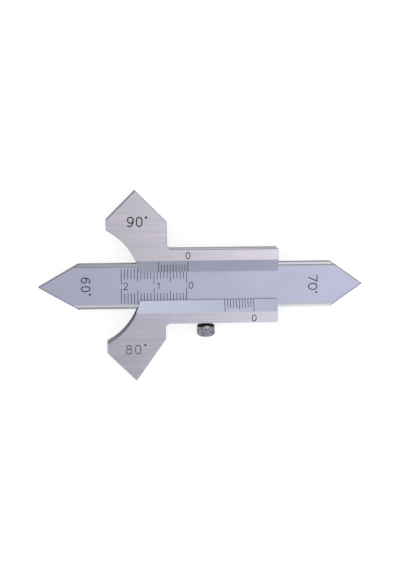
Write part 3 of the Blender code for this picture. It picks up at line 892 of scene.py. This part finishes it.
def engrave_all(paint):
    """The figures and degree dots, where the photograph shows them."""
    engrave(
        "upper_jaw",
        "slider",
        [
            Inscription("90", on_jaw(26.82, 18.43), height=3.15, width=4.68, stroke=0.37),
            Inscription("0", on_jaw(44.47, 8.54), height=2.22, width=1.82, stroke=0.25),
        ],
        [Dot(on_jaw(32.55, 21.27), diameter=0.76)],
        FRONT,
        paint,
    )
    engrave(
        "lower_jaw",
        "slider",
        [
            Inscription("80", on_jaw(26.03, -20.79), height=2.94, width=4.67, stroke=0.23),
            Inscription("0", on_jaw(64.90, -11.13), height=2.22, width=1.82, stroke=0.26),
        ],
        [Dot(on_jaw(31.97, -17.95), diameter=0.66)],
        FRONT,
        paint,
    )
    engrave(
        "scale_bar",
        "bar",
        [
            Inscription("60", on_bar(12.91, 2.92), height=2.84, width=4.52, stroke=0.31, **DOWNWARDS),
            Inscription(
                "70", on_bar(83.02, 2.80), height=2.92, width=4.72, stroke=0.31, stretch=1.22, **DOWNWARDS
            ),
            Inscription("2", on_bar(25.81, -1.10), height=2.3, width=1.68, stroke=0.23),
            Inscription("1", on_bar(36.20, -0.98), height=2.05, width=0.7, stroke=0.24),
            Inscription("0", on_bar(45.82, -1.00), height=2.2, width=1.6, stroke=0.23),
        ],
        [Dot(on_bar(15.61, -2.42), diameter=0.66), Dot(on_bar(85.61, -2.66), diameter=0.60)],
        SCALE_FACE,
        paint,
    )


def smooth_group(angle):
    """Geometry nodes that shade smooth, apart from edges sharper than an angle."""
    group = bpy.data.node_groups.new("smooth_by_angle", "GeometryNodeTree")
    group.interface.new_socket("Geometry", in_out="INPUT", socket_type="NodeSocketGeometry")
    group.interface.new_socket("Geometry", in_out="OUTPUT", socket_type="NodeSocketGeometry")
    start = group.nodes.new("NodeGroupInput")
    end = group.nodes.new("NodeGroupOutput")
    faces = group.nodes.new("GeometryNodeSetShadeSmooth")
    edges = group.nodes.new("GeometryNodeSetShadeSmooth")
    edges.domain = "EDGE"
    edges.inputs["Shade Smooth"].default_value = False
    edge_angle = group.nodes.new("GeometryNodeInputMeshEdgeAngle")
    compare = group.nodes.new("FunctionNodeCompare")
    compare.operation = "GREATER_THAN"
    compare.inputs[1].default_value = angle
    group.links.new(edge_angle.outputs["Unsigned Angle"], compare.inputs[0])
    group.links.new(start.outputs[0], faces.inputs["Geometry"])
    group.links.new(faces.outputs[0], edges.inputs["Geometry"])
    group.links.new(compare.outputs[0], edges.inputs["Selection"])
    group.links.new(edges.outputs[0], end.inputs[0])
    return group


def weld(obj):
    """The frame's faces come apart at their edges; this joins them again, where they are."""
    modifier = obj.modifiers.new("weld", "WELD")
    modifier.merge_threshold = WELD_DISTANCE * MM


def finish_shapes(paint):
    """Welds the CAD nodes, engraves them and shades them smooth, by modifiers in that order."""
    for obj in NODES.values():
        weld(obj)
    engrave_all(paint)
    smooth = smooth_group(math.radians(SMOOTH_ANGLE))
    for obj in NODES.values():
        obj.modifiers.new("smooth", "NODES").node_group = smooth


def mirrored(nodes):
    """1 for a ray that metal or glass sends on, and 0 for any other."""
    path = nodes.node("LightPath")
    return nodes.either(path.outputs["Is Glossy Ray"], path.outputs["Is Transmission Ray"])


def make_floor():
    """A grey floor that takes the shadow, and looks white to the camera and in metal."""
    material = bpy.data.materials.new("floor")
    material.use_nodes = True
    nodes = Nodes(material.node_tree)
    seen = nodes.either(nodes.node("LightPath").outputs["Is Camera Ray"], mirrored(nodes))
    glow = nodes.calculate("MULTIPLY", seen, FLOOR_GLOW)
    parts = {"Base Color": FLOOR_GREY, "Roughness": FLOOR_ROUGH, "Specular IOR Level": 0.0}
    parts.update({"Emission Color": WHITE, "Emission Strength": glow})
    nodes.fill(nodes.tree.nodes["Principled BSDF"], parts)
    solid = bmesh.new()
    bmesh.ops.create_grid(solid, size=FLOOR_REACH)
    floor = new_object("floor", mesh_of("floor", solid, material))
    floor.location.z = -FLOOR_DROP


def mirrored_sky(nodes):
    """How bright the studio is in a mirror that looks in a direction."""
    direction = nodes.node("SeparateXYZ", {0: nodes.node("TexCoord").outputs["Generated"]})
    across, back, up = direction.outputs
    slant = nodes.calculate("MULTIPLY", across, SLANT_ACROSS)
    slant = nodes.calculate("MULTIPLY_ADD", back, SLANT_BACK, slant)
    sky = nodes.ramp(slant, *SLANT_TURN, SKY_FRONT, SKY_BACK, "SMOOTHSTEP")
    behind = nodes.calculate("MAXIMUM", back, 0.0)
    corner = nodes.both(across, behind, nodes.opposite(nodes.within(back, *STRIP)))
    sky = nodes.calculate("MULTIPLY_ADD", corner, -BACK_FALL, sky)
    sky = nodes.node("Clamp", {0: sky, 1: BACK_LEAST, 2: 1.0}).outputs[0]
    sky = nodes.calculate("ADD", sky, nodes.ramp(back, *APRON_END, APRON_GAIN, 0.0))
    gap = nodes.both(nodes.within(back, *GAP), nodes.ramp(across, *GAP_END, GAP_LOSS, 0.0))
    height = nodes.calculate("ABSOLUTE", up)
    horizon = nodes.ramp(height, *HORIZON, HORIZON_LIGHT, 1.0)
    low = nodes.ramp(across, *LOW_SIDES, LOW_LEFT_LIGHT, LOW_RIGHT_LIGHT)
    low = nodes.ramp(height, *LOW_END, low, 1.0)
    return nodes.both(sky, nodes.opposite(gap), horizon, low)


def make_world():
    """White where the camera sees it, softly graded where metal mirrors it, and plain as light."""
    world = bpy.data.worlds.new("studio")
    bpy.context.scene.world = world
    world.use_nodes = True
    nodes = Nodes(world.node_tree)
    strength = nodes.number(mirrored(nodes), PLAIN_LIGHT, mirrored_sky(nodes))
    strength = nodes.number(nodes.node("LightPath").outputs["Is Camera Ray"], strength, 1.0)
    nodes.fill(nodes.tree.nodes["Background"], {"Color": WHITE, "Strength": strength})


def make_panel(name, direction, size, radiance):
    """A soft panel that faces the origin. A mirror shows its radiance on top of the studio's."""
    data = bpy.data.lights.new(name, "AREA")
    data.shape = "RECTANGLE"
    data.size, data.size_y = size
    data.energy = PANEL_WATTS * radiance * size[0] * size[1]
    lamp = new_object(name, data)
    lamp.location = Vector(direction).normalized() * PANEL_DISTANCE
    lamp.rotation_euler = (-lamp.location).to_track_quat("-Z", "Y").to_euler()
    lamp.visible_camera = False


def make_lights():
    for name, (direction, size, radiance) in PANELS.items():
        make_panel(name, direction, size, radiance)


def make_camera():
    data = bpy.data.cameras.new("camera")
    data.lens = CAMERA_LENS
    data.sensor_width = CAMERA_SENSOR
    data.clip_start, data.clip_end = CAMERA_CLIP
    camera = new_object("camera", data)
    camera.location = CAMERA_PLACE
    camera.rotation_euler = [math.radians(angle) for angle in CAMERA_TURN]
    bpy.context.scene.camera = camera


bpy.context.scene.view_settings.view_transform = "Standard"
make_camera()
make_world()
make_lights()
make_floor()
finish_shapes(dress_cad())
